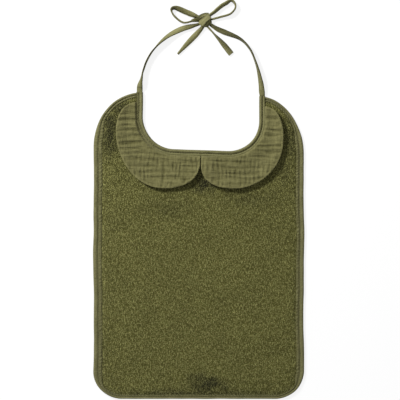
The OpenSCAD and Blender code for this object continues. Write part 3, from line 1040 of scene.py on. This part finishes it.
def make_knot():
    """The knot: one turn of tape wrapped round the crossing, over a bunched core and a turned-up fold"""
    lean = math.radians(38)
    along = np.array([math.sin(lean), math.cos(lean), 0])
    side = np.array([math.cos(lean), -math.sin(lean), 0])
    up = np.array([0, 0, 1.0])
    centre = np.array([KNOT[0] * MM, KNOT[1] * MM, 0.0031])
    steps, corners = 90, len(TIE_FOLD)
    wrap_long, wrap_high = 0.0064, 0.0026
    rows = np.empty((steps, corners, 3))
    crease = np.empty((steps, corners))
    for i, angle in enumerate(np.linspace(0, 2 * math.pi, steps, endpoint=False)):
        out = math.cos(angle) * along * wrap_long + math.sin(angle) * up * wrap_high
        outward = math.cos(angle) * along / wrap_long + math.sin(angle) * up / wrap_high
        outward /= np.linalg.norm(outward)
        width = 0.0076 * (0.9 + 0.1 * math.sin(angle * 3 + 0.6))
        shift = 0.0006 * math.sin(angle * 2) - 0.0012
        for j, (a, b) in enumerate(TIE_FOLD):
            pleat = math.cos(a * 13 + angle * 1.2)
            rows[i, j] = centre + out + side * (a * width + shift) + outward * b * 0.0015 * (1 + 0.3 * pleat)
            # Painted light on the wrap: lighter overall, lighter on its top and darker underneath as painted
            # light and shade, and banded along its pleats
            crease[i, j] = -0.26 - 0.18 * pleat - 0.25 * math.sin(angle)
    around = np.linspace(0, 0.014, corners)
    run = np.linspace(0, 0.03, steps)
    wrap = sweep("knot_wrap", rows, closed_rows=True, uv=tape_uv(run, around))
    mark_creases(wrap, crease)
    tidy_mesh(wrap, 0.000001)
    dress(wrap, "tape", "neck_loop", "tape", "bow_knot", angle=60)
    for part, route in (("fold", KNOT_FOLD), ("tuck", KNOT_TUCK)):
        fold, _ = tape_along(f"knot_{part}", from_point(route, KNOT), 7.0)
        dress(fold, "tape", "neck_loop", "tape", angle=60)
    bpy.ops.object.select_all(action="DESELECT")
    bpy.ops.mesh.primitive_ico_sphere_add(subdivisions=5, radius=1, calc_uvs=True)
    core = bpy.context.object
    core.name = "knot_core"
    core.data.uv_layers[0].name = "tape"
    points = points_of(core)
    bumps = 1 + 0.16 * rough(points, 2.1, 2.0)
    shaped = points * bumps[:, None] * (0.0055, 0.0064, 0.0026) + (0.0008, 0, 0)
    shaped = centre + shaped @ np.array([side, along, up])
    set_points(core, shaped)
    # Painted shade on the bunched core inside the wrap, lighter on its bumps
    mark_creases(core, 0.38 - 1.4 * (bumps - 1))
    dress(core, "tape", "neck_loop", "tape", angle=180)
    return wrap


# ---------------------------------------------------------------------------
# Operators
# ---------------------------------------------------------------------------


class BIB_OT_terry(bpy.types.Operator):
    """Make the terry front panel"""

    bl_idname = "bib.terry"
    bl_label = "Terry Front"

    def execute(self, context):
        make_terry()
        return {"FINISHED"}


class BIB_OT_backing(bpy.types.Operator):
    """Make the backing cloth"""

    bl_idname = "bib.backing"
    bl_label = "Backing"

    def execute(self, context):
        make_backing()
        return {"FINISHED"}


class BIB_OT_bindings(bpy.types.Operator):
    """Make the stitched bindings of the edge and the neckline"""

    bl_idname = "bib.bindings"
    bl_label = "Bindings"

    def execute(self, context):
        s = sizes()
        reach = s.body_w / 2 - s.neck_w / 2
        end_angle = math.degrees(math.acos((s.binding_w - 0.0015) / reach))
        make_binding("outer_tape", outer_edge(end_angle), 1, EDGE_HI.z, "edge_binding", 1.0, SHOWN_WIDER)
        make_binding("neck_tape", neckline(), -1, NECK_HI.z, "neck_binding", 0.3)
        return {"FINISHED"}


class BIB_OT_collar(bpy.types.Operator):
    """Make the two leaves of the collar"""

    bl_idname = "bib.collar"
    bl_label = "Collar"

    def execute(self, context):
        for side in (-1, 1):
            make_leaf(side)
        return {"FINISHED"}


class BIB_OT_ties(bpy.types.Operator):
    """Make the two ties and their bow"""

    bl_idname = "bib.ties"
    bl_label = "Ties and Bow"

    def execute(self, context):
        knot = make_knot()
        for side in (-1, 1):
            make_tie(side)
        return {"FINISHED"}


class BIB_OT_stage(bpy.types.Operator):
    """Make the floor, the lights and the camera"""

    bl_idname = "bib.stage"
    bl_label = "Stage"

    def execute(self, context):
        make_floor()
        make_lights()
        make_camera()
        return {"FINISHED"}


class BIB_PT_panel(bpy.types.Panel):
    """Lists the bib's parts, sizes and colours"""

    bl_label = "Baby Bib"
    bl_idname = "BIB_PT_panel"
    bl_space_type = "VIEW_3D"
    bl_region_type = "UI"
    bl_category = "Bib"

    def draw(self, context):
        for operator in PIECES:
            self.layout.operator(operator.bl_idname)
        for group in (context.scene.bib_sizes, context.scene.bib_colours):
            for name in group.__annotations__:
                self.layout.prop(group, name)


# ---------------------------------------------------------------------------
# Stage
# ---------------------------------------------------------------------------


FLOOR_GREY = 0.19
FLOOR_GLOW = 0.84
WORLD_LIGHT = 0.36
WORLD_SEEN = 1.0
LAMP_PLACE = (-0.8, 0.8, 0.8)
LAMP_AIM = (0, 0.05, 0)
LAMP_SIZE = 0.24
LAMP_POWER = 20.5


def make_floor():
    bpy.ops.object.select_all(action="DESELECT")
    bpy.ops.mesh.primitive_plane_add(size=6, location=(0, 0, -0.0002))
    floor = bpy.context.object
    floor.name = "floor"
    bpy.ops.object.transform_apply(location=True, rotation=True, scale=True)
    white = Cloth("floor")
    white.shader.inputs["Base Color"].default_value = (FLOOR_GREY, FLOOR_GREY, FLOOR_GREY, 1)
    white.shader.inputs["Roughness"].default_value = 1
    white.shader.inputs["Specular IOR Level"].default_value = 0
    path = white.node("ShaderNodeLightPath")
    seen = Value(white, path.outputs["Is Camera Ray"])
    seen = seen.math("MAXIMUM", Value(white, path.outputs["Is Glossy Ray"]))
    seen = seen.math("MAXIMUM", Value(white, path.outputs["Is Transmission Ray"]))
    glow = white.node("ShaderNodeEmission", values={"Color": (1, 1, 1, 1), "Strength": seen * FLOOR_GLOW})
    both = white.node("ShaderNodeAddShader")
    white.feed(both.inputs[0], white.shader.outputs[0])
    white.feed(both.inputs[1], glow.outputs[0])
    white.feed(white.tree.nodes["Material Output"].inputs["Surface"], both.outputs[0])
    floor.data.materials.append(white.material)


def make_lights():
    world = bpy.data.worlds.new("studio")
    bpy.context.scene.world = world
    world.use_nodes = True
    nodes, links = world.node_tree.nodes, world.node_tree.links
    nodes["Background"].inputs[0].default_value = (1, 1, 1, 1)
    path = nodes.new("ShaderNodeLightPath")
    white = nodes.new("ShaderNodeMapRange")
    white.inputs["To Min"].default_value = WORLD_LIGHT
    white.inputs["To Max"].default_value = WORLD_SEEN
    links.new(path.outputs["Is Camera Ray"], white.inputs["Value"])
    links.new(white.outputs[0], nodes["Background"].inputs[1])
    bpy.ops.object.light_add(type="AREA", location=LAMP_PLACE)
    lamp = bpy.context.object
    lamp.name = "key"
    lamp.data.size = LAMP_SIZE
    lamp.data.energy = LAMP_POWER
    lamp.rotation_euler = (Vector(LAMP_AIM) - Vector(LAMP_PLACE)).to_track_quat("-Z", "Y").to_euler()



def make_camera():
    """Straight above the bib, as far back as an 85 mm lens needs"""
    view_w, centre_x, centre_y, lens, sensor = 0.4381, 0.0014, 0.0509, 85.0, 36.0
    data = bpy.data.cameras.new("camera")
    data.lens = lens
    data.sensor_width = sensor
    camera = bpy.data.objects.new("camera", data)
    bpy.context.scene.collection.objects.link(camera)
    camera.location = (centre_x, centre_y, view_w * lens / sensor)
    bpy.context.scene.camera = camera
    bpy.context.scene.view_settings.view_transform = "Standard"


PIECES = [BIB_OT_stage, BIB_OT_ties, BIB_OT_terry, BIB_OT_backing, BIB_OT_bindings, BIB_OT_collar]
CLASSES = [BibSizes, BibColours, *PIECES, BIB_PT_panel]


def register():
    for made in CLASSES:
        bpy.utils.register_class(made)
    bpy.types.Scene.bib_sizes = PointerProperty(type=BibSizes)
    bpy.types.Scene.bib_colours = PointerProperty(type=BibColours)


def unregister():
    del bpy.types.Scene.bib_colours
    del bpy.types.Scene.bib_sizes
    for made in reversed(CLASSES):
        bpy.utils.unregister_class(made)


def main():
    register()
    for piece in PIECES:
        group, name = piece.bl_idname.split(".")
        getattr(getattr(bpy.ops, group), name)()


if __name__ == "__main__":
    main()
